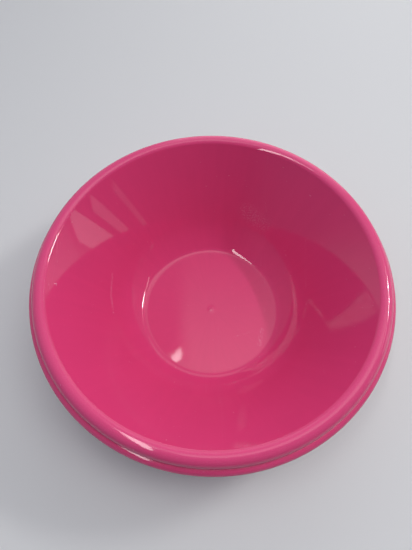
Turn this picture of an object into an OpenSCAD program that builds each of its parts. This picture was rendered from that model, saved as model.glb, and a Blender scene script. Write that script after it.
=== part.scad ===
// Nest of two round, flared bowls with rolled rims, each one moulding.
// Millimetres, +Z up, origin on the axis at the underside of the lower bowl's foot.

/* [Bowl] */
// Outside diameter across the upper bowl's rim
rim_d = 407; // [320:1:500]
// Height from the foot to the top of the rim
bowl_h = 119.5; // [90:0.5:160]
// Thickness of the moulded wall, the same all over
wall_t = 2.5; // [1.5:0.1:4]

/* [Rolled rim] */
// Radius of the rounded outer face of the upper bowl's rim
roll_r = 10; // [8:0.5:16]
// Radius of the rounded outer face of the lower bowl's slimmer rim
lower_roll_r = 6; // [5:0.5:12]
// Depth of the straight skirt below the centre of the roll
skirt_drop = 2.5; // [1:0.1:8]
// Angle from the top of the roll down to the crease where the wall starts
crease_angle = 42; // [30:1:45]

/* [Floor and wall] */
// Diameter of the flat floor, whose underside is the foot
floor_d = 172; // [120:1:220]
// Inside radius of the bend around the floor
floor_bend_r = 16; // [8:0.5:20]
// How far the floor bend turns up before the wall starts
floor_bend_turn = 32; // [25:1:40]
// Inside radius of the belly, the gently curved lower part of the wall
belly_r = 110; // [80:5:150]
// Diameter of the moulding mark at the middle of the floor
mark_d = 4; // [3:0.5:10]
// Height of the moulding mark above the floor
mark_h = 0.2; // [0.1:0.1:1]

/* [Nest] */
// How much further out every part of the lower bowl lies
nest_step = 6.4; // [4:0.1:9]
// Gap left where the upper bowl seats on the lower one
seat_gap = 0.3; // [0.2:0.05:0.5]

/* [Hidden] */

// Segments in each bend, in the roll, and round the bowl
bend_steps = 8;
roll_steps = 30;
$fn = 180;

// Radius of the cap that forms the moulding mark, and half the angle that it spans
mark_r = (pow(mark_d / 2, 2) + pow(mark_h, 2)) / (2 * mark_h);
mark_turn = asin(mark_d / 2 / mark_r);

function on_circle(centre, radius, angle) = centre + radius * [cos(angle), sin(angle)];

// Points along an arc, both ends included
function arc(centre, radius, from, to, steps) =
    [for (i = [0 : steps]) on_circle(centre, radius, from + (to - from) * i / steps)];

// Centres of the bends in a bowl's section, as [radius, height]. The bowl's rim has the given
// roll, and the bowl lies further out than the upper one by step_out. The belly runs on from
// the end of the floor bend without a break.
function bend_c(step_out) = [floor_d / 2 + step_out, wall_t + floor_bend_r];
function belly_c(step_out) =
    bend_c(step_out) + (belly_r - floor_bend_r) * [-sin(floor_bend_turn), cos(floor_bend_turn)];
function roll_c(roll, step_out) = [rim_d / 2 + step_out - roll, bowl_h - roll];
function skirt_c(roll, step_out) = roll_c(roll, step_out) + [roll - wall_t / 2, -skirt_drop];
function crease(roll, step_out) = on_circle(roll_c(roll, step_out), roll, 90 + crease_angle);

// Slope above level of the straight upper wall, on the line from the crease that just touches the belly
function wall_slope(roll, step_out) =
    let (to_crease = crease(roll, step_out) - belly_c(step_out))
    atan2(to_crease.y, to_crease.x) + asin(belly_r / norm(to_crease));

// Angle from the top of the roll down to where the wall's outer face runs into its underside
function under_crease_angle(roll, step_out) =
    let (slope = wall_slope(roll, step_out), wall_to_roll = roll * cos(slope - crease_angle) - wall_t)
    slope - acos(wall_to_roll / (roll - wall_t));

// Height of the upper bowl over the lower one: it comes to rest on whichever meets first,
// its skirt on the lower roll, wall in wall, or its foot on the lower floor
seat_reach = lower_roll_r + wall_t / 2 + seat_gap;
skirt_to_roll = roll_c(lower_roll_r, nest_step) - skirt_c(roll_r, 0);
rim_seat = skirt_to_roll.y + sqrt(pow(seat_reach, 2) - pow(skirt_to_roll.x, 2));
upper_slope = wall_slope(roll_r, 0);
wall_seat = (wall_t + seat_gap - nest_step * sin(upper_slope)) / cos(upper_slope);
floor_seat = wall_t + seat_gap;
nest_pitch = max(rim_seat, wall_seat, floor_seat);

// Face that is seen from above, from the axis out to the roll and round it to the skirt
function upper_face(roll, step_out) = concat(
    arc([0, wall_t + mark_h - mark_r], mark_r, 90, 90 - mark_turn, bend_steps),
    arc(bend_c(step_out), floor_bend_r, 270, 270 + floor_bend_turn, bend_steps),
    arc(belly_c(step_out), belly_r, 270 + floor_bend_turn, 270 + wall_slope(roll, step_out), bend_steps),
    arc(roll_c(roll, step_out), roll, 90 + crease_angle, 0, roll_steps)
);

// Half-round end of the skirt
function skirt_end(roll, step_out) = arc(skirt_c(roll, step_out), wall_t / 2, 0, -180, bend_steps);

// Face that is seen from below, from the skirt back to the axis
function lower_face(roll, step_out) = concat(
    arc(roll_c(roll, step_out), roll - wall_t, 0, 90 + under_crease_angle(roll, step_out), roll_steps),
    arc(belly_c(step_out), belly_r + wall_t,
        270 + wall_slope(roll, step_out), 270 + floor_bend_turn, bend_steps),
    arc(bend_c(step_out), floor_bend_r + wall_t, 270 + floor_bend_turn, 270, bend_steps),
    [[0, 0]]
);

module bowl(roll, step_out) {
    rotate_extrude() polygon(concat(
        upper_face(roll, step_out), skirt_end(roll, step_out), lower_face(roll, step_out)
    ));
}

module upper_bowl() {
    color("#e0447c") translate([0, 0, nest_pitch]) bowl(roll_r, 0);
}

module lower_bowl() {
    color("#d83a74") bowl(lower_roll_r, nest_step);
}

upper_bowl();
lower_bowl();
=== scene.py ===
"""Two flared bowls, one nested in the other, turned as fine meshes and finished in worn gloss plastic, with
painted light on the rolled rims and on the moulding mark.
"""

import math
from typing import NamedTuple

import bmesh
import bpy
from bpy.props import FloatProperty, FloatVectorProperty, PointerProperty
from mathutils import Matrix, Vector, noise


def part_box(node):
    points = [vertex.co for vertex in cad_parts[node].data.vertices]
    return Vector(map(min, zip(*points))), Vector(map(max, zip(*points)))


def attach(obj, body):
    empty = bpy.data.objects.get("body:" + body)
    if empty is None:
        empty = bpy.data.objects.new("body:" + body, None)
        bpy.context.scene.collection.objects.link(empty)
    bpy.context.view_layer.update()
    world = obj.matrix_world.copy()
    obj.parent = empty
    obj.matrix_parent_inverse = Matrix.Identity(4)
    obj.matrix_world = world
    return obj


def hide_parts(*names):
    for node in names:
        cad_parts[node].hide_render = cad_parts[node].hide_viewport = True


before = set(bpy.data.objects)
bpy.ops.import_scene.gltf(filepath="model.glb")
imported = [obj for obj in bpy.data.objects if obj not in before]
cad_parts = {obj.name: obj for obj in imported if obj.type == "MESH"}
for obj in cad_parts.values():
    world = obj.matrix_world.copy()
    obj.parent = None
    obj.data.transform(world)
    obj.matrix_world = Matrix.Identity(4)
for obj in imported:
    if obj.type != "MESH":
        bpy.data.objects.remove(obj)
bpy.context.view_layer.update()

bl_info = {
    "name": "Nesting bowl pair",
    "version": (1, 0, 0),
    "blender": (4, 5, 0),
    "location": "3D View > Sidebar > Bowls",
    "description": "Turns, finishes and lights a nest of two flared bowls",
    "category": "Object",
}

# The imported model's box, and the boxes of the two bowls that the fine meshes follow
BOWL_BOX = {node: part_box(node) for node in ("upper_bowl", "lower_bowl")}

# Steps in each part of a bowl's half section, and round the bowl
BEND_STEPS = 10
ROLL_STEPS = 44
FLOOR_STEPS = 14
BELLY_STEPS = 18
WALL_STEPS = 22
ROUND_STEPS = 288

# Straight up, as an angle in a half section, and the radius under which a point lies on the axis
UP = math.pi / 2
ON_AXIS = 1e-6

# Waves of the ripple to a metre, and how far a bowl's height shifts them, so that the bowls differ
RIPPLE_WAVES = 16.0
RIPPLE_SHIFT = 100.0


class BowlSizes(bpy.types.PropertyGroup):
    """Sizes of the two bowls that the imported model's boxes don't give."""

    wall: FloatProperty(
        name="Wall",
        description="Thickness of the moulded wall",
        default=0.0025,
        unit="LENGTH",
    )
    upper_roll: FloatProperty(
        name="Upper roll",
        description="Radius of the upper bowl's rounded rim",
        default=0.010,
        unit="LENGTH",
    )
    lower_roll: FloatProperty(
        name="Lower roll",
        description="Radius of the lower bowl's slimmer rim",
        default=0.006,
        unit="LENGTH",
    )
    skirt: FloatProperty(
        name="Skirt",
        description="Depth of the skirt below the roll's centre",
        default=0.0025,
        unit="LENGTH",
    )
    crease: FloatProperty(
        name="Crease",
        description="Angle from the top of the roll down to where the wall starts",
        default=math.radians(42),
        subtype="ANGLE",
    )
    crease_blend: FloatProperty(
        name="Crease blend",
        description="Length of wall that eases into the crease",
        default=0.0006,
        unit="LENGTH",
    )
    floor: FloatProperty(
        name="Floor",
        description="Diameter of the upper bowl's flat floor",
        default=0.172,
        unit="LENGTH",
    )
    bend: FloatProperty(
        name="Floor bend",
        description="Inside radius of the bend round the floor",
        default=0.016,
        unit="LENGTH",
    )
    bend_turn: FloatProperty(
        name="Floor bend turn",
        description="How far the floor bend turns up before the wall starts",
        default=math.radians(32),
        subtype="ANGLE",
    )
    belly: FloatProperty(
        name="Belly",
        description="Inside radius of the curved lower wall",
        default=0.11,
        unit="LENGTH",
    )
    mark_width: FloatProperty(
        name="Mark width",
        description="Diameter of the moulding mark on the floor",
        default=0.004,
        unit="LENGTH",
    )
    mark_height: FloatProperty(
        name="Mark height",
        description="Height of the moulding mark",
        default=0.0002,
        unit="LENGTH",
    )
    witness: FloatProperty(
        name="Witness step",
        description="Step where the two mould halves met on the rim",
        default=0.00012,
        unit="LENGTH",
    )
    ripple: FloatProperty(
        name="Ripple",
        description="How far the wall and floor waver from true",
        default=0.00018,
        unit="LENGTH",
    )


class PlasticFinish(bpy.types.PropertyGroup):
    """Colours and surface of the plastic, with the painted light on the rolls and on the moulding mark."""

    upper_colour: FloatVectorProperty(
        name="Upper colour",
        description="Pigment of the upper bowl",
        default=(0.76, 0.056, 0.195),
        subtype="COLOR",
    )
    lower_colour: FloatVectorProperty(
        name="Lower colour",
        description="Pigment of the lower bowl",
        default=(0.74, 0.052, 0.185),
        subtype="COLOR",
    )
    # Painted light: a paler colour on the rolled rims that stands in for the extra light they catch
    roll_light_colour: FloatVectorProperty(
        name="Roll colour",
        description="Paler look of the thin plastic in the rolled rims",
        default=(0.84, 0.077, 0.235),
        subtype="COLOR",
    )
    # Also painted on the moulding mark as painted light for the lit side of its dome
    scuff_and_mark_light_colour: FloatVectorProperty(
        name="Scuff colour",
        description="Pale bruised plastic in scratches and scuffs",
        default=(0.85, 0.32, 0.48),
        subtype="COLOR",
    )
    dust_colour: FloatVectorProperty(
        name="Dust colour",
        description="Specks lying on the plastic",
        default=(0.85, 0.80, 0.80),
        subtype="COLOR",
    )
    mottle: FloatProperty(
        name="Mottle",
        description="How much the pigment varies",
        default=0.012,
        subtype="FACTOR",
    )
    roughness: FloatProperty(
        name="Roughness",
        description="Roughness of the clean gloss",
        default=0.04,
        subtype="FACTOR",
    )
    index: FloatProperty(
        name="Refractive index",
        description="Index of the plastic",
        default=1.49,
    )
    peel: FloatProperty(
        name="Peel",
        description="Height of the fine waviness of the gloss",
        default=0.000002,
        unit="LENGTH",
    )


class StageSetting(bpy.types.PropertyGroup):
    """Camera, floor and studio light."""

    camera_place: FloatVectorProperty(
        name="Camera place",
        description="Camera, from the middle of the upper bowl's floor",
        default=(-0.0072, -0.2173, 0.5717),
        subtype="XYZ_LENGTH",
    )
    camera_tilt: FloatProperty(
        name="Camera tilt",
        description="Tilt up from straight down",
        default=math.radians(25.15),
        subtype="ANGLE",
    )
    camera_lens: FloatProperty(
        name="Lens",
        description="Focal length",
        default=29.38,
        unit="CAMERA",
    )
    floor_colour: FloatVectorProperty(
        name="Floor colour",
        description="Colour of the studio floor",
        default=(0.80, 0.80, 0.80),
        subtype="COLOR",
    )
    floor_bounce: FloatVectorProperty(
        name="Floor bounce",
        description="Colour of the light that the floor throws back up",
        default=(0.25, 0.25, 0.26),
        subtype="COLOR",
    )
    overhead: FloatVectorProperty(
        name="Overhead",
        description="Soft glow above the bowls",
        default=(1.6, 1.6, 1.6),
        subtype="COLOR",
    )
    horizon: FloatVectorProperty(
        name="Horizon",
        description="Backdrop low behind the bowls",
        default=(0.67, 0.67, 0.69),
        subtype="COLOR",
    )
    back: FloatVectorProperty(
        name="Back",
        description="Surroundings behind the bowls",
        default=(0.31, 0.32, 0.37),
        subtype="COLOR",
    )
    left: FloatVectorProperty(
        name="Left",
        description="Surroundings left of the bowls",
        default=(0.15, 0.20, 0.31),
        subtype="COLOR",
    )
    front: FloatVectorProperty(
        name="Front",
        description="Surroundings before the bowls",
        default=(0.048, 0.050, 0.065),
        subtype="COLOR",
    )


# Half section of a bowl


def on_circle(centre, radius, angle):
    return centre + radius * Vector((math.cos(angle), math.sin(angle)))


def arc(centre, radius, start, end, steps):
    """Points along an arc, both ends included."""
    return [on_circle(centre, radius, start + (end - start) * i / steps) for i in range(steps + 1)]


def run(start, end, steps):
    """Points along a straight stretch, without its ends."""
    return [start.lerp(end, i / steps) for i in range(1, steps)]


class Section:
    """Half section of one bowl, as radius and height above its foot."""

    def __init__(self, sizes, node):
        low, high = BOWL_BOX[node]
        rim = high.x
        height = high.z - low.z
        step_out = rim - BOWL_BOX["upper_bowl"][1].x
        self.sizes = sizes
        self.base = low.z
        self.roll_radius = sizes.upper_roll if node == "upper_bowl" else sizes.lower_roll
        self.floor_radius = sizes.floor / 2 + step_out
        turn = sizes.bend_turn
        self.bend = Vector((self.floor_radius, sizes.wall + sizes.bend))
        self.bend_end = self.floor_radius + sizes.bend * math.sin(turn)
        self.belly = self.bend + (sizes.belly - sizes.bend) * Vector((-math.sin(turn), math.cos(turn)))
        self.roll = Vector((rim - self.roll_radius, height - self.roll_radius))
        self.crease = on_circle(self.roll, self.roll_radius, UP + sizes.crease)
        to_crease = self.crease - self.belly
        self.slope = math.atan2(to_crease.y, to_crease.x) + math.asin(sizes.belly / to_crease.length)

    def under_crease(self):
        """Angle from the top of the roll down to where the wall's outer face runs into it."""
        sizes = self.sizes
        wall_to_roll = self.roll_radius * math.cos(self.slope - sizes.crease) - sizes.wall
        return self.slope - math.acos(wall_to_roll / (self.roll_radius - sizes.wall))

    def mark(self):
        """The moulding mark, a low dome from the axis to its edge."""
        sizes = self.sizes
        half = sizes.mark_width / 2
        radius = (half ** 2 + sizes.mark_height ** 2) / (2 * sizes.mark_height)
        centre = Vector((0, sizes.wall + sizes.mark_height - radius))
        return arc(centre, radius, UP, UP - math.asin(half / radius), BEND_STEPS)

    def inside(self):
        """From the axis over the floor, up the wall and round the roll."""
        sizes = self.sizes
        mark = self.mark()
        bend = arc(self.bend, sizes.bend, -UP, sizes.bend_turn - UP, BEND_STEPS)
        belly = arc(self.belly, sizes.belly, sizes.bend_turn - UP, self.slope - UP, BELLY_STEPS)
        roll = arc(self.roll, self.roll_radius, UP + sizes.crease, 0, ROLL_STEPS)
        eased = roll[0] - (roll[0] - belly[-1]).normalized() * sizes.crease_blend
        floor = run(mark[-1], bend[0], FLOOR_STEPS)
        wall = run(belly[-1], eased, WALL_STEPS)
        return [*mark, *floor, *bend, *belly[1:], *wall, eased, *roll]

    def skirt_end(self):
        """Below the roll, set in by the witness step, to the half-round end."""
        sizes = self.sizes
        half = (sizes.wall - sizes.witness) / 2
        outer = self.roll.x + self.roll_radius - sizes.witness
        step = Vector((outer, self.roll.y - sizes.witness))
        end_centre = Vector((outer - half, self.roll.y - sizes.skirt))
        return [step, *arc(end_centre, half, 0, -math.pi, BEND_STEPS)]

    def underside(self):
        """From the skirt back under the roll, down the wall and under the floor to the axis."""
        sizes = self.sizes
        roll = arc(self.roll, self.roll_radius - sizes.wall, 0, UP + self.under_crease(), ROLL_STEPS)
        belly_radius = sizes.belly + sizes.wall
        belly = arc(self.belly, belly_radius, self.slope - UP, sizes.bend_turn - UP, BELLY_STEPS)
        bend = arc(self.bend, sizes.bend + sizes.wall, sizes.bend_turn - UP, -UP, BEND_STEPS)
        axis = Vector((0, 0))
        eased = roll[-1] - (roll[-1] - belly[0]).normalized() * sizes.crease_blend
        wall = run(eased, belly[0], WALL_STEPS)
        foot = run(bend[-1], axis, FLOOR_STEPS)
        return [*roll, eased, *wall, *belly, *bend[1:], *foot, axis]

    def points(self):
        return [*self.inside(), *self.skirt_end(), *self.underside()]

    def ripple(self, radius, angle):
        """How far a point wavers: nothing round the mark, at the floor bend and at the crease."""
        clear_of_mark = self.sizes.mark_width
        if clear_of_mark < radius < self.floor_radius:
            share = (radius - clear_of_mark) / (self.floor_radius - clear_of_mark)
            across = Vector((0, 1))
        elif self.bend_end < radius < self.crease.x:
            share = (radius - self.bend_end) / (self.crease.x - self.bend_end)
            across = Vector((-math.sin(self.slope), math.cos(self.slope)))
        else:
            return Vector((0, 0))
        spot = Vector((math.cos(angle), math.sin(angle), 0)) * radius * RIPPLE_WAVES
        spot.z = self.base * RIPPLE_SHIFT
        return across * (self.sizes.ripple * math.sin(math.pi * share) * (1 + noise.noise(spot)) / 2)


def turned_bowl(name, section):
    """Mesh object made by turning a half section about the axis."""
    work = bmesh.new()
    rings = []
    for point in section.points():
        if point.x < ON_AXIS:
            rings.append([work.verts.new((0, 0, section.base + point.y))] * ROUND_STEPS)
            continue
        ring = []
        for i in range(ROUND_STEPS):
            angle = math.tau * i / ROUND_STEPS
            spot = point + section.ripple(point.x, angle)
            place = (spot.x * math.cos(angle), spot.x * math.sin(angle), section.base + spot.y)
            ring.append(work.verts.new(place))
        rings.append(ring)
    for ring, following in zip(rings, rings[1:]):
        for i in range(ROUND_STEPS):
            j = (i + 1) % ROUND_STEPS
            corners = dict.fromkeys((ring[i], following[i], following[j], ring[j]))
            work.faces.new(list(corners))
    bmesh.ops.recalc_face_normals(work, faces=work.faces)
    mesh = bpy.data.meshes.new(name)
    work.to_mesh(mesh)
    work.free()
    mesh.shade_smooth()
    bowl = bpy.data.objects.new(name, mesh)
    bpy.context.scene.collection.objects.link(bowl)
    return bowl


# Plastic

# The colour mix node's sockets, and the vector operations that give a single number
MIX_FACTOR = 0
MIX_FIRST = 6
MIX_SECOND = 7
MIX_RESULT = 2
SINGLE_NUMBER = ("LENGTH", "DISTANCE", "DOT_PRODUCT")


class Graph:
    """Nodes of a material or world, added and linked in one go."""

    def __init__(self, owner):
        owner.use_nodes = True
        self.tree = owner.node_tree
        self.tree.nodes.clear()

    def add(self, kind, feeds=None, **settings):
        """Adds a node. feeds maps its inputs to values or to other nodes' outputs."""
        node = self.tree.nodes.new(kind)
        for key, value in settings.items():
            setattr(node, key, value)
        for key, value in (feeds or {}).items():
            if isinstance(value, bpy.types.NodeSocket):
                self.tree.links.new(value, node.inputs[key])
            else:
                node.inputs[key].default_value = value
        return node

    def math(self, operation, *values):
        return self.add("ShaderNodeMath", dict(enumerate(values)), operation=operation).outputs[0]

    def times(self, value, factor):
        return self.math("MULTIPLY", value, factor)

    def chain(self, operation, *values):
        """Carries one operation along a row of values."""
        result, *others = values
        for value in others:
            result = self.math(operation, result, value)
        return result

    def vector(self, operation, *values, **named):
        feeds = {**dict(enumerate(values)), **named}
        outputs = self.add("ShaderNodeVectorMath", feeds, operation=operation).outputs
        return outputs["Value" if operation in SINGLE_NUMBER else "Vector"]

    def noise(self, vector, scale, detail):
        feeds = {"Vector": vector, "Scale": scale, "Detail": detail}
        return self.add("ShaderNodeTexNoise", feeds).outputs["Fac"]

    def remap(self, value, low, high, to_low=0.0, to_high=1.0):
        """Maps low and high onto to_low and to_high, with soft ends, and holds the ends outside them."""
        feeds = {"Value": value, "From Min": low, "From Max": high, "To Min": to_low, "To Max": to_high}
        node = self.add("ShaderNodeMapRange", feeds, interpolation_type="SMOOTHSTEP")
        return node.outputs["Result"]

    def mix(self, factor, first, second):
        feeds = {MIX_FACTOR: factor, MIX_FIRST: first, MIX_SECOND: second}
        return self.add("ShaderNodeMix", feeds, data_type="RGBA").outputs[MIX_RESULT]


def opaque(colour, share=1.0):
    return (*(min(1.0, part * share) for part in colour), 1.0)


# Pigment streaks round and out along the bowl, clouds to a metre, and the values that they shade between
STREAKS_ROUND = 16.0
STREAKS_OUTWARD = 14.0
CLOUDS = 18.0
PIGMENT_DETAIL = 3.0
SHADE_LOW = 0.75
SHADE_HIGH = 1.25

# Where the roll's painted light, a paler colour that stands in for the extra light the rims catch, starts
# and is full, outward from the crease
ROLL_LIGHT_FADE_START = -0.001
ROLL_LIGHT_FADE_END = 0.004


def pigment_with_roll_light(graph, place, colour, finish, section):
    """Pigment drawn out from the middle as the plastic flowed, over soft clouds, and painted paler on the
    roll for the extra light that the rims catch.
    """
    axes = graph.add("ShaderNodeSeparateXYZ", {"Vector": place}).outputs
    flat = graph.add("ShaderNodeCombineXYZ", {"X": axes["X"], "Y": axes["Y"]}).outputs[0]
    reach = graph.vector("LENGTH", flat)
    spokes = graph.vector("SCALE", graph.vector("NORMALIZE", flat), Scale=STREAKS_ROUND)
    turned = graph.add("ShaderNodeSeparateXYZ", {"Vector": spokes}).outputs
    drawn_out = graph.times(reach, STREAKS_OUTWARD)
    feeds = {"X": turned["X"], "Y": turned["Y"], "Z": drawn_out}
    flow = graph.noise(graph.add("ShaderNodeCombineXYZ", feeds).outputs[0], 1.0, PIGMENT_DETAIL)
    clouds = graph.noise(place, CLOUDS, PIGMENT_DETAIL)
    shade = graph.remap(graph.math("ADD", flow, clouds), SHADE_LOW, SHADE_HIGH)
    pigment = graph.mix(shade, opaque(colour, 1 - finish.mottle), opaque(colour, 1 + finish.mottle))
    # Painted light: the roll is painted paler, standing in for the extra light that the rims catch
    crease = section.crease.x
    roll_light_share = graph.remap(reach, crease + ROLL_LIGHT_FADE_START, crease + ROLL_LIGHT_FADE_END)
    return graph.mix(roll_light_share, pigment, opaque(finish.roll_light_colour))


class Hairlines(NamedTuple):
    """Fine straight scratches that run one way: its turn, how widely they are spread, and their width."""

    turn: float
    spread: float
    width: float


HAIRLINES = (
    Hairlines(math.radians(24), spread=0.0, width=0.012),
    Hairlines(math.radians(-52), spread=0.02, width=0.010),
    Hairlines(math.radians(83), spread=-0.01, width=0.010),
)

# How closely hairlines lie across and along, and the patches that they are broken up into
HAIRLINE_STRETCH = (420.0, 9.0, 9.0)
HAIRLINE_PATCHES = 0.11
PATCH_EDGE = 0.66
PATCH_FULL = 0.72


def hairline_scratches(graph, place):
    """Mask of the hairlines, each drawn where a stretched noise passes its middle value."""
    mask = 0.0
    for lines in HAIRLINES:
        feeds = {"Vector": place, "Rotation": (0.0, 0.0, lines.turn), "Scale": HAIRLINE_STRETCH}
        drawn = graph.add("ShaderNodeMapping", feeds).outputs["Vector"]
        contour = graph.math("ABSOLUTE", graph.math("SUBTRACT", graph.noise(drawn, 1.0, 0.0), 0.5))
        line = graph.remap(contour, 0.0, lines.width, 1.0, 0.0)
        cover = graph.noise(drawn, HAIRLINE_PATCHES, 1.0)
        patch = graph.remap(cover, PATCH_EDGE - lines.spread, PATCH_FULL - lines.spread)
        mask = graph.math("MAXIMUM", mask, graph.times(line, patch))
    return mask


class Specks(NamedTuple):
    """Round specks in a scatter: its cells to a metre, their size in a cell, and the share of cells."""

    scale: float
    size: float
    share: float


DUST = (
    Specks(scale=130.0, size=0.055, share=0.10),
    Specks(scale=420.0, size=0.10, share=0.035),
)

# Part of a speck's size out to which it is full
SPECK_CORE = 0.6


def dust_specks(graph, place):
    """Mask of coarse and fine dust."""
    mask = 0.0
    for specks in DUST:
        cells = graph.add("ShaderNodeTexVoronoi", {"Vector": place, "Scale": specks.scale}).outputs
        dot = graph.remap(cells["Distance"], specks.size * SPECK_CORE, specks.size, 1.0, 0.0)
        draw = graph.add("ShaderNodeSeparateColor", {"Color": cells["Color"]}).outputs["Red"]
        chosen = graph.math("LESS_THAN", draw, specks.share)
        mask = graph.math("MAXIMUM", mask, graph.times(dot, chosen))
    return mask


class Scuff(NamedTuple):
    """Pale scuff between two places on a bowl's inside, given from the middle of its floor; the one on the
    moulding mark is a spot of painted light.
    """

    start: tuple
    end: tuple
    width: float
    strength: float


# On the left wall, on the back wall, on the floor, single nicks on the wall, and a pale spot of painted
# light on the mark at the middle
SCUFFS_AND_MARK_LIGHT = (
    Scuff((-0.129, 0.033, 0.042), (-0.1295, 0.007, 0.0375), width=0.0022, strength=0.55),
    Scuff((-0.1295, 0.007, 0.0375), (-0.125, -0.018, 0.033), width=0.0022, strength=0.55),
    Scuff((0.050, 0.126, 0.047), (0.070, 0.110, 0.040), width=0.017, strength=0.22),
    Scuff((0.030, -0.039, 0.0), (0.050, -0.033, 0.0), width=0.0007, strength=0.4),
    Scuff((0.067, -0.030, 0.0), (0.063, -0.050, 0.0), width=0.004, strength=0.45),
    Scuff((0.125, 0.119, 0.0955), (0.126, 0.118, 0.0955), width=0.0016, strength=0.6),
    Scuff((0.101, 0.068, 0.028), (0.102, 0.067, 0.028), width=0.0016, strength=0.5),
    Scuff((-0.178, -0.007, 0.103), (-0.178, -0.010, 0.103), width=0.0016, strength=0.7),
    # Painted light: a pale spot on the moulding mark that stands in for the light on its low dome
    Scuff((-0.0006, 0.0, 0.0002), (0.0006, 0.0, 0.0002), width=0.004, strength=0.5),
)

# Part of a scuff's width out to which it is full, and the fine noise that breaks it up
SCUFF_CORE = 0.25
SCUFF_GRAIN = 620.0
SCUFF_GRAIN_LOW = 0.50
SCUFF_GRAIN_HIGH = 0.64


def scuffs_and_mark_light(graph, place, section, scuffs):
    """Mask of the scuffs and of the painted light on the mark, by distance from the line along each one."""
    middle = (0.0, 0.0, section.base + section.sizes.wall)
    spot = graph.vector("SUBTRACT", place, middle)
    mask = 0.0
    for scuff in scuffs:
        start = Vector(scuff.start)
        length = Vector(scuff.end) - start
        offset = graph.vector("SUBTRACT", spot, start)
        share = graph.vector("DOT_PRODUCT", offset, length / length.length_squared)
        share = graph.add("ShaderNodeClamp", {"Value": share}).outputs[0]
        away = graph.vector("DISTANCE", offset, graph.vector("SCALE", length, Scale=share))
        pale = graph.remap(away, scuff.width * SCUFF_CORE, scuff.width, scuff.strength, 0.0)
        mask = graph.math("MAXIMUM", mask, pale)
    grain = graph.remap(graph.noise(place, SCUFF_GRAIN, 1.0), SCUFF_GRAIN_LOW, SCUFF_GRAIN_HIGH)
    return graph.times(mask, grain)


# Depths below the top of the rim where rubbing starts and is full, and its share of the foot's
RIM_RUB_START = 0.004
RIM_RUB_FULL = 0.0005
RIM_RUB_SHARE = 0.18

# Heights above the foot where rubbing is full and where it ends
FOOT_RUB_FULL = 0.0003
FOOT_RUB_END = 0.0016

# Fine noise that breaks up the rubbing
GRIT = 900.0
GRIT_DETAIL = 3.0
GRIT_LOW = 0.50
GRIT_HIGH = 0.66


def rubbed_edges(graph, place, section):
    """Mask of the foot and, more faintly, of the top of the rim."""
    level = graph.add("ShaderNodeSeparateXYZ", {"Vector": place}).outputs["Z"]
    height = graph.math("SUBTRACT", level, section.base)
    rim_height = section.roll.y + section.roll_radius
    on_rim = graph.remap(height, rim_height - RIM_RUB_START, rim_height - RIM_RUB_FULL)
    on_foot = graph.remap(height, FOOT_RUB_FULL, FOOT_RUB_END, 1.0, 0.0)
    edges = graph.math("MAXIMUM", on_foot, graph.times(on_rim, RIM_RUB_SHARE))
    return graph.times(edges, graph.remap(graph.noise(place, GRIT, GRIT_DETAIL), GRIT_LOW, GRIT_HIGH))


class Wear(NamedTuple):
    """How much of its own colour a kind of wear shows, and how much rougher it leaves the plastic."""

    colour: float
    roughness: float


HAIRLINE_WEAR = Wear(colour=0.22, roughness=0.18)
RUB_WEAR = Wear(colour=0.5, roughness=0.35)
SCUFF_AND_MARK_LIGHT_WEAR = Wear(colour=1.0, roughness=0.3)
DUST_WEAR = Wear(colour=0.55, roughness=0.4)

# Patches of haze in the gloss, as shares of its clean roughness, and the noise that sets them out
HAZE = 26.0
HAZE_DETAIL = 4.0
HAZE_LOW = 0.35
HAZE_HIGH = 0.75
HAZE_LEAST = 0.8
HAZE_MOST = 1.7

# Peel bumps to a metre, and how deep and how strongly scratches and dust mark the gloss
PEEL_BUMPS = 240.0
MARK_DEPTH = 0.00003
MARK_STRENGTH = 0.5


def worn_gloss(name, colour, finish, section, scuffs):
    """Moulded gloss plastic with scuffs, hairline scratches, dust, a rubbed rim and foot, and painted light
    on the roll and on the moulding mark.
    """
    material = bpy.data.materials.new(name)
    graph = Graph(material)
    place = graph.add("ShaderNodeTexCoord").outputs["Object"]
    # The pigment here carries the painted light on the roll
    pigment = pigment_with_roll_light(graph, place, colour, finish, section)
    lines = hairline_scratches(graph, place)
    rubbed = rubbed_edges(graph, place, section)
    scuffed_and_mark_lit = scuffs_and_mark_light(graph, place, section, scuffs)
    dust = dust_specks(graph, place)
    kinds = ((lines, HAIRLINE_WEAR), (rubbed, RUB_WEAR), (scuffed_and_mark_lit, SCUFF_AND_MARK_LIGHT_WEAR))

    # The pale scuff colour also paints light on the moulding mark
    bruised = graph.chain("MAXIMUM", *(graph.times(mask, wear.colour) for mask, wear in kinds))
    bare = graph.mix(bruised, pigment, opaque(finish.scuff_and_mark_light_colour))
    surface = graph.mix(graph.times(dust, DUST_WEAR.colour), bare, opaque(finish.dust_colour))

    least = finish.roughness * HAZE_LEAST
    most = finish.roughness * HAZE_MOST
    haze = graph.remap(graph.noise(place, HAZE, HAZE_DETAIL), HAZE_LOW, HAZE_HIGH, least, most)
    dulled = [graph.times(mask, wear.roughness) for mask, wear in (*kinds, (dust, DUST_WEAR))]
    roughness = graph.chain("ADD", haze, *dulled)

    # Fine peel of the gloss, then the scratches cut into it and the dust standing on it
    peel_height = graph.noise(place, PEEL_BUMPS, 1.0)
    peel = graph.add("ShaderNodeBump", {"Strength": 1.0, "Distance": finish.peel, "Height": peel_height})
    mark_feeds = {
        "Strength": MARK_STRENGTH,
        "Distance": MARK_DEPTH,
        "Normal": peel.outputs["Normal"],
        "Height": graph.math("SUBTRACT", dust, lines),
    }
    marked = graph.add("ShaderNodeBump", mark_feeds).outputs["Normal"]
    feeds = {"Base Color": surface, "Roughness": roughness, "IOR": finish.index, "Normal": marked}
    shader = graph.add("ShaderNodeBsdfPrincipled", feeds)
    graph.add("ShaderNodeOutputMaterial", {"Surface": shader.outputs[0]})
    return material


# Stage


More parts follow.
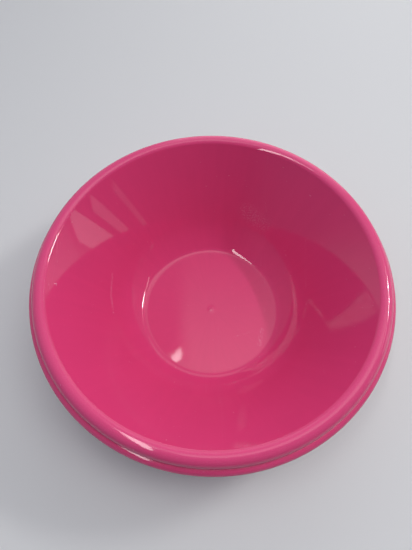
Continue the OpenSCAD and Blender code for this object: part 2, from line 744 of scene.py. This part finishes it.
class Lamp(NamedTuple):
    """Flat lamp, placed from the middle of the upper bowl's floor, which it looks at unless it faces a way.

    along is the way that its width runs. A lamp that isn't mirrored lights the plastic without showing in
    its gloss.
    """

    name: str
    place: tuple
    width: float
    depth: float
    glow: float
    along: tuple = (1.0, 0.0, 0.0)
    faces: tuple = None
    shape: str = "RECTANGLE"
    mirrored: bool = True


DOWN = (0.0, 0.0, -1.0)
LEFT = (-1.0, 0.0, 0.0)

# The key lamp and the weaker glow around it
KEY_PLACE = (1.733, 0.668, 1.675)
KEY_ALONG = (-0.36, 0.934, 0.0)

# How far right the windows stand, and the way that their upper edges lean
WINDOW_RIGHT = 1.4
WINDOW_EDGE = (0.0, 0.719, -0.695)


def window(name, back, up, width, depth, glow):
    """Upright lamp on the right, this far back and up, that faces left."""
    return Lamp(name, (WINDOW_RIGHT, back, up), width, depth, glow, along=WINDOW_EDGE, faces=LEFT)


LAMPS = (
    Lamp("key", KEY_PLACE, width=0.52, depth=0.05, glow=142.0, along=KEY_ALONG, shape="ELLIPSE"),
    Lamp(
        "strip", (-0.318, -0.27, 1.4), width=1.27, depth=0.11, glow=7.5,
        along=(0.298, 0.954, 0.0), faces=DOWN, shape="ELLIPSE",
    ),
    Lamp("key_glow", KEY_PLACE, width=1.7, depth=0.12, glow=4.0, along=KEY_ALONG, shape="ELLIPSE"),
    Lamp("fill", (0.5, -0.25, 1.4), width=0.9, depth=0.5, glow=1.65, faces=DOWN, mirrored=False),
    Lamp("back", (0.45, 1.6, 0.35), width=1.5, depth=0.6, glow=0.8),
    Lamp("back_high", (0.3, 1.35, 1.15), width=1.2, depth=0.8, glow=0.58),
    window("window_near", back=-0.054, up=0.315, width=0.295, depth=0.30, glow=0.95),
    window("window_middle", back=-0.429, up=0.405, width=0.15, depth=0.34, glow=0.58),
    window("window_far", back=-0.857, up=0.535, width=0.11, depth=0.36, glow=0.33),
    window("side_right", back=0.55, up=0.35, width=0.8, depth=0.5, glow=0.12),
)

# An area lamp's energy for each unit of its area and of its face's brightness
ENERGY_PER_GLOW = 4.0


def hang(lamp, middle):
    """Hangs a lamp so that its face has the given brightness."""
    light = bpy.data.lights.new(lamp.name, "AREA")
    light.shape = lamp.shape
    light.size = lamp.width
    light.size_y = lamp.depth
    area = lamp.width * lamp.depth * (math.pi / 4 if lamp.shape == "ELLIPSE" else 1.0)
    light.energy = ENERGY_PER_GLOW * area * lamp.glow
    stand = bpy.data.objects.new(lamp.name, light)
    place = Vector(lamp.place)
    stand.location = middle + place
    back = (-Vector(lamp.faces) if lamp.faces else place).normalized()
    down = back.cross(Vector(lamp.along)).normalized()
    stand.rotation_mode = "QUATERNION"
    stand.rotation_quaternion = Matrix((down.cross(back), down, back)).transposed().to_quaternion()
    stand.visible_camera = False
    stand.visible_glossy = lamp.mirrored
    bpy.context.scene.collection.objects.link(stand)


# Where the surroundings change, as parts of a direction of length 1: X right, Y back and Z up
HORIZON_FULL = math.sin(math.radians(4))
HORIZON_END = math.sin(math.radians(16))
FRONT_END = -0.4
BACK_START = 0.4
LEFT_START = -0.25
LEFT_FULL = -0.75

# The edges of the overhead glow: each pair is where it is nothing and where it is full
OVERHEAD_EDGES = (
    ("X", -0.08, -0.03),
    ("Y", -0.10, 0.06),
    ("Y", 0.54, 0.16),
    ("Z", 0.72, 0.86),
)


def studio_air(stage):
    """Dim surroundings, lighter behind the bowls and palest low down there, with a soft glow overhead."""
    world = bpy.data.worlds.new("studio_air")
    graph = Graph(world)
    way = graph.add("ShaderNodeTexCoord").outputs["Generated"]
    parts = graph.add("ShaderNodeSeparateXYZ", {"Vector": way}).outputs
    low = graph.remap(parts["Z"], HORIZON_FULL, HORIZON_END, 1.0, 0.0)
    behind = graph.mix(low, opaque(stage.back), opaque(stage.horizon))
    to_left = graph.remap(parts["X"], LEFT_START, LEFT_FULL)
    before = graph.mix(to_left, opaque(stage.front), opaque(stage.left))
    around = graph.mix(graph.remap(parts["Y"], FRONT_END, BACK_START), before, behind)
    edges = [graph.remap(parts[axis], nothing, full) for axis, nothing, full in OVERHEAD_EDGES]
    colour = graph.mix(graph.chain("MULTIPLY", *edges), around, (*stage.overhead, 1.0))
    glow = graph.add("ShaderNodeBackground", {"Color": colour})
    graph.add("ShaderNodeOutputWorld", {"Surface": glow.outputs["Background"]})
    bpy.context.scene.world = world


# The studio floor, a plain disc
STUDIO_FLOOR_RADIUS = 8.0
STUDIO_FLOOR_SIDES = 96
STUDIO_FLOOR_ROUGHNESS = 0.7


def pale_floor(stage):
    """Material of the floor: pale to look at and in reflections, dimmer in the light that it throws back."""
    material = bpy.data.materials.new("studio_floor")
    graph = Graph(material)
    path = graph.add("ShaderNodeLightPath").outputs
    rays = (path["Is Camera Ray"], path["Is Glossy Ray"], path["Is Transmission Ray"])
    seen = graph.chain("MAXIMUM", *rays)
    colour = graph.mix(seen, opaque(stage.floor_bounce), opaque(stage.floor_colour))
    feeds = {"Base Color": colour, "Roughness": STUDIO_FLOOR_ROUGHNESS}
    shader = graph.add("ShaderNodeBsdfPrincipled", feeds)
    graph.add("ShaderNodeOutputMaterial", {"Surface": shader.outputs[0]})
    return material


class BOWLS_OT_stage(bpy.types.Operator):
    """Sets the camera, the pale floor and the studio lamps"""

    bl_idname = "bowls.stage"
    bl_label = "Stage"

    def execute(self, context):
        scene = context.scene
        stage = scene.bowl_stage
        scene.view_settings.view_transform = "Standard"
        middle = Vector((0, 0, BOWL_BOX["upper_bowl"][0].z + scene.bowl_sizes.wall))
        self.place_camera(scene, stage, middle)
        self.lay_floor(scene, stage)
        studio_air(stage)
        for lamp in LAMPS:
            hang(lamp, middle)
        return {"FINISHED"}

    def place_camera(self, scene, stage, middle):
        lens = bpy.data.cameras.new("camera")
        lens.lens = stage.camera_lens
        camera = bpy.data.objects.new("camera", lens)
        camera.location = middle + Vector(stage.camera_place)
        camera.rotation_euler = (stage.camera_tilt, 0, 0)
        scene.collection.objects.link(camera)
        scene.camera = camera

    def lay_floor(self, scene, stage):
        work = bmesh.new()
        bmesh.ops.create_circle(
            work, cap_ends=True, segments=STUDIO_FLOOR_SIDES, radius=STUDIO_FLOOR_RADIUS
        )
        mesh = bpy.data.meshes.new("studio_floor")
        work.to_mesh(mesh)
        work.free()
        mesh.materials.append(pale_floor(stage))
        floor = bpy.data.objects.new("studio_floor", mesh)
        scene.collection.objects.link(floor)


# The two bowls


def make_bowl(context, node, colour, scuffs):
    """A bowl in place of its node, on the body of the same name."""
    section = Section(context.scene.bowl_sizes, node)
    bowl = turned_bowl(node + ".moulding", section)
    plastic = worn_gloss(node + "_plastic", colour, context.scene.bowl_finish, section, scuffs)
    bowl.data.materials.append(plastic)
    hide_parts(node)
    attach(bowl, node)


class BOWLS_OT_upper(bpy.types.Operator):
    """Turns the upper bowl and gives it its finish"""

    bl_idname = "bowls.upper"
    bl_label = "Upper bowl"

    def execute(self, context):
        make_bowl(context, "upper_bowl", context.scene.bowl_finish.upper_colour, SCUFFS_AND_MARK_LIGHT)
        return {"FINISHED"}


class BOWLS_OT_lower(bpy.types.Operator):
    """Turns the lower bowl and gives it its finish"""

    bl_idname = "bowls.lower"
    bl_label = "Lower bowl"

    def execute(self, context):
        make_bowl(context, "lower_bowl", context.scene.bowl_finish.lower_colour, ())
        return {"FINISHED"}


class BOWLS_PT_panel(bpy.types.Panel):
    """Lists the pieces and the sizes and colours behind them"""

    bl_idname = "BOWLS_PT_panel"
    bl_label = "Nesting bowls"
    bl_space_type = "VIEW_3D"
    bl_region_type = "UI"
    bl_category = "Bowls"

    def draw(self, context):
        scene = context.scene
        for operator in OPERATORS:
            self.layout.operator(operator.bl_idname)
        for group in (scene.bowl_sizes, scene.bowl_finish, scene.bowl_stage):
            box = self.layout.box()
            for key in group.__annotations__:
                box.prop(group, key)


OPERATORS = (BOWLS_OT_stage, BOWLS_OT_upper, BOWLS_OT_lower)
CLASSES = (BowlSizes, PlasticFinish, StageSetting, *OPERATORS, BOWLS_PT_panel)


def register():
    for made in CLASSES:
        bpy.utils.register_class(made)
    bpy.types.Scene.bowl_sizes = PointerProperty(type=BowlSizes)
    bpy.types.Scene.bowl_finish = PointerProperty(type=PlasticFinish)
    bpy.types.Scene.bowl_stage = PointerProperty(type=StageSetting)


def unregister():
    del bpy.types.Scene.bowl_stage
    del bpy.types.Scene.bowl_finish
    del bpy.types.Scene.bowl_sizes
    for made in reversed(CLASSES):
        bpy.utils.unregister_class(made)


def main():
    register()
    bpy.ops.bowls.stage()
    bpy.ops.bowls.upper()
    bpy.ops.bowls.lower()


if __name__ == "__main__":
    main()
